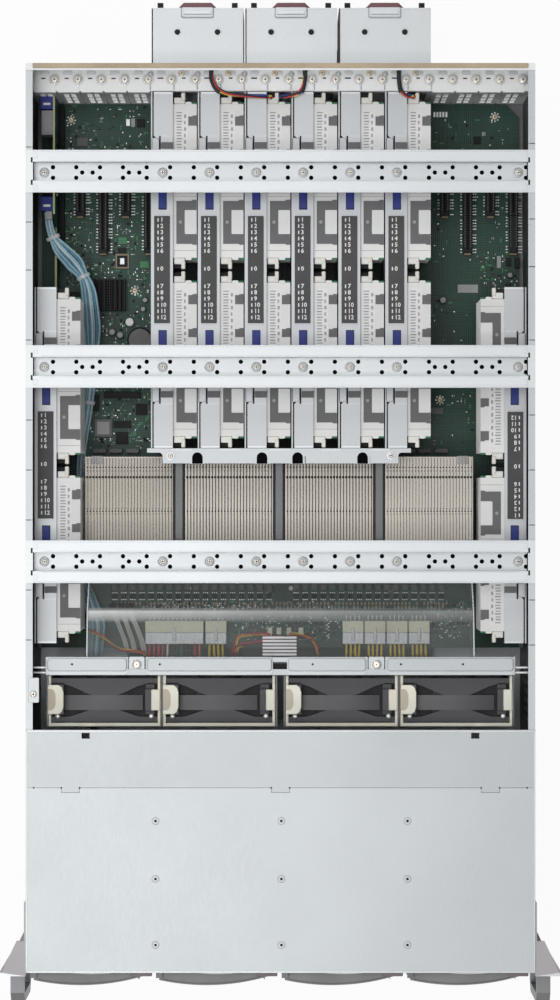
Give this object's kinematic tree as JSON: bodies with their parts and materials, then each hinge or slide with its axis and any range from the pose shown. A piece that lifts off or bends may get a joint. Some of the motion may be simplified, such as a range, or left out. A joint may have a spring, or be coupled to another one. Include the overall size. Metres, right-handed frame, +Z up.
{
  "type": "rack server",
  "caption": "Open 4U rack server with lift-out fans, memory riser modules, finned heatsinks, front drive bays, rear fan boxes and power supplies that slide out.",
  "frame": {"origin": "under the middle of the whole box, on the base", "axes": "+X right seen from the front, +Y to the rear, +Z up"},
  "size_m": [0.4826, 0.8702, 0.177],
  "materials": {
    "galvanised": "galvanised sheet",
    "module_steel": "satin sheet",
    "ear_paint": "satin",
    "handle_metal": "satin",
    "board_green": "solder mask",
    "connector_black": "moulded",
    "heatsink_metal": "plain fins",
    "baffle_black": "moulded",
    "clear_sheet": "clear sheet",
    "stick_white": "labels and spreaders",
    "latch_blue": "moulded",
    "fan_charcoal": "moulded",
    "fan_cream": "moulded",
    "rear_box_metal": "satin sheet",
    "psu_metal": "satin sheet",
    "carrier_metal": "satin",
    "lever_grey": "satin",
    "cable_blue": "jacketed strands",
    "wire_mix": "insulated wire",
    "screw_steel": "zinc plated"
  },
  "bodies": {
    "chassis": {"chassis_pan": "galvanised", "rear_panel": "galvanised", "front_cover": "galvanised", "cover_strip": "galvanised", "cross_braces": "galvanised", "fan_cage": "galvanised", "fan_cage_bar": "galvanised", "board_tray": "galvanised", "module_guide_plate": "galvanised", "slot_covers": "galvanised", "drive_cage": "galvanised", "memory_covers": "module_steel", "memory_levers": "module_steel", "rack_ears": "ear_paint", "rack_handles": "handle_metal", "motherboard": "board_green", "io_card": "board_green", "memory_boards": "board_green", "drive_backplane": "board_green", "power_distribution_board": "board_green", "board_connectors": "connector_black", "heatsinks": "heatsink_metal", "air_baffle": "baffle_black", "air_shroud": "clear_sheet", "memory_sticks": "stick_white", "memory_latches": "latch_blue", "lower_drive_carriers": "carrier_metal", "sas_cable_loom": "cable_blue", "internal_wiring": "wire_mix", "screws": "screw_steel"},
    "fan_module_1": {"fan_carrier_1": "fan_cream", "fan_housing_1": "fan_charcoal"},
    "fan_rotor_1": {"fan_rotor_1": "fan_charcoal"},
    "fan_module_2": {"fan_carrier_2": "fan_cream", "fan_housing_2": "fan_charcoal"},
    "fan_rotor_2": {"fan_rotor_2": "fan_charcoal"},
    "fan_module_3": {"fan_carrier_3": "fan_cream", "fan_housing_3": "fan_charcoal"},
    "fan_rotor_3": {"fan_rotor_3": "fan_charcoal"},
    "fan_module_4": {"fan_carrier_4": "fan_cream", "fan_housing_4": "fan_charcoal"},
    "fan_rotor_4": {"fan_rotor_4": "fan_charcoal"},
    "rear_fan_module_1": {"rear_fan_housing_1": "rear_box_metal"},
    "rear_fan_rotor_1": {"rear_fan_rotor_1": "fan_charcoal"},
    "rear_fan_module_2": {"rear_fan_housing_2": "rear_box_metal"},
    "rear_fan_rotor_2": {"rear_fan_rotor_2": "fan_charcoal"},
    "rear_fan_module_3": {"rear_fan_housing_3": "rear_box_metal"},
    "rear_fan_rotor_3": {"rear_fan_rotor_3": "fan_charcoal"},
    "psu_1": {"psu_1": "psu_metal"},
    "psu_2": {"psu_2": "psu_metal"},
    "psu_3": {"psu_3": "psu_metal"},
    "psu_4": {"psu_4": "psu_metal"},
    "drive_1": {"drive_carrier_1": "carrier_metal"},
    "drive_lever_1": {"drive_lever_1": "lever_grey"},
    "drive_2": {"drive_carrier_2": "carrier_metal"},
    "drive_lever_2": {"drive_lever_2": "lever_grey"},
    "drive_3": {"drive_carrier_3": "carrier_metal"},
    "drive_lever_3": {"drive_lever_3": "lever_grey"},
    "drive_4": {"drive_carrier_4": "carrier_metal"},
    "drive_lever_4": {"drive_lever_4": "lever_grey"}
  },
  "joints": [
    {"name": "fan_lift_1", "type": "slide", "parent": "chassis", "child": "fan_module_1", "axis": [0, 0, 1], "range_m": [0, 0.105]},
    {"name": "fan_spin_1", "type": "hinge", "parent": "fan_module_1", "child": "fan_rotor_1", "pos_m": [-0.1525, -0.1895, 0.095], "axis": [0, 1, 0], "continuous": true},
    {"name": "fan_lift_2", "type": "slide", "parent": "chassis", "child": "fan_module_2", "axis": [0, 0, 1], "range_m": [0, 0.105]},
    {"name": "fan_spin_2", "type": "hinge", "parent": "fan_module_2", "child": "fan_rotor_2", "pos_m": [-0.0531, -0.1895, 0.095], "axis": [0, 1, 0], "continuous": true},
    {"name": "fan_lift_3", "type": "slide", "parent": "chassis", "child": "fan_module_3", "axis": [0, 0, 1], "range_m": [0, 0.105]},
    {"name": "fan_spin_3", "type": "hinge", "parent": "fan_module_3", "child": "fan_rotor_3", "pos_m": [0.0531, -0.1895, 0.095], "axis": [0, 1, 0], "continuous": true},
    {"name": "fan_lift_4", "type": "slide", "parent": "chassis", "child": "fan_module_4", "axis": [0, 0, 1], "range_m": [0, 0.105]},
    {"name": "fan_spin_4", "type": "hinge", "parent": "fan_module_4", "child": "fan_rotor_4", "pos_m": [0.1525, -0.1895, 0.095], "axis": [0, 1, 0], "continuous": true},
    {"name": "rear_fan_slide_1", "type": "slide", "parent": "chassis", "child": "rear_fan_module_1", "axis": [0, 1, 0], "range_m": [0, 0.08]},
    {"name": "rear_fan_spin_1", "type": "hinge", "parent": "rear_fan_module_1", "child": "rear_fan_rotor_1", "pos_m": [-0.07202, 0.3776, 0.0945], "axis": [0, 1, 0], "continuous": true},
    {"name": "rear_fan_slide_2", "type": "slide", "parent": "chassis", "child": "rear_fan_module_2", "axis": [0, 1, 0], "range_m": [0, 0.08]},
    {"name": "rear_fan_spin_2", "type": "hinge", "parent": "rear_fan_module_2", "child": "rear_fan_rotor_2", "pos_m": [0.00926, 0.3776, 0.0945], "axis": [0, 1, 0], "continuous": true},
    {"name": "rear_fan_slide_3", "type": "slide", "parent": "chassis", "child": "rear_fan_module_3", "axis": [0, 1, 0], "range_m": [0, 0.08]},
    {"name": "rear_fan_spin_3", "type": "hinge", "parent": "rear_fan_module_3", "child": "rear_fan_rotor_3", "pos_m": [0.09054, 0.3776, 0.0945], "axis": [0, 1, 0], "continuous": true},
    {"name": "psu_slide_1", "type": "slide", "parent": "chassis", "child": "psu_1", "axis": [0, 1, 0], "range_m": [0, 0.3]},
    {"name": "psu_slide_2", "type": "slide", "parent": "chassis", "child": "psu_2", "axis": [0, 1, 0], "range_m": [0, 0.3]},
    {"name": "psu_slide_3", "type": "slide", "parent": "chassis", "child": "psu_3", "axis": [0, 1, 0], "range_m": [0, 0.3]},
    {"name": "psu_slide_4", "type": "slide", "parent": "chassis", "child": "psu_4", "axis": [0, 1, 0], "range_m": [0, 0.3]},
    {"name": "drive_slide_1", "type": "slide", "parent": "chassis", "child": "drive_1", "axis": [0, -1, 0], "range_m": [0, 0.15]},
    {"name": "drive_lever_swing_1", "type": "hinge", "parent": "drive_1", "child": "drive_lever_1", "pos_m": [-0.2123, -0.4054, 0.1564], "axis": [0, 0, -1], "range_deg": [0, 60]},
    {"name": "drive_slide_2", "type": "slide", "parent": "chassis", "child": "drive_2", "axis": [0, -1, 0], "range_m": [0, 0.15]},
    {"name": "drive_lever_swing_2", "type": "hinge", "parent": "drive_2", "child": "drive_lever_2", "pos_m": [-0.1043, -0.4054, 0.1564], "axis": [0, 0, -1], "range_deg": [0, 60]},
    {"name": "drive_slide_3", "type": "slide", "parent": "chassis", "child": "drive_3", "axis": [0, -1, 0], "range_m": [0, 0.15]},
    {"name": "drive_lever_swing_3", "type": "hinge", "parent": "drive_3", "child": "drive_lever_3", "pos_m": [0.0037, -0.4054, 0.1564], "axis": [0, 0, -1], "range_deg": [0, 60]},
    {"name": "drive_slide_4", "type": "slide", "parent": "chassis", "child": "drive_4", "axis": [0, -1, 0], "range_m": [0, 0.15]},
    {"name": "drive_lever_swing_4", "type": "hinge", "parent": "drive_4", "child": "drive_lever_4", "pos_m": [0.1117, -0.4054, 0.1564], "axis": [0, 0, -1], "range_deg": [0, 60]}
  ]
}
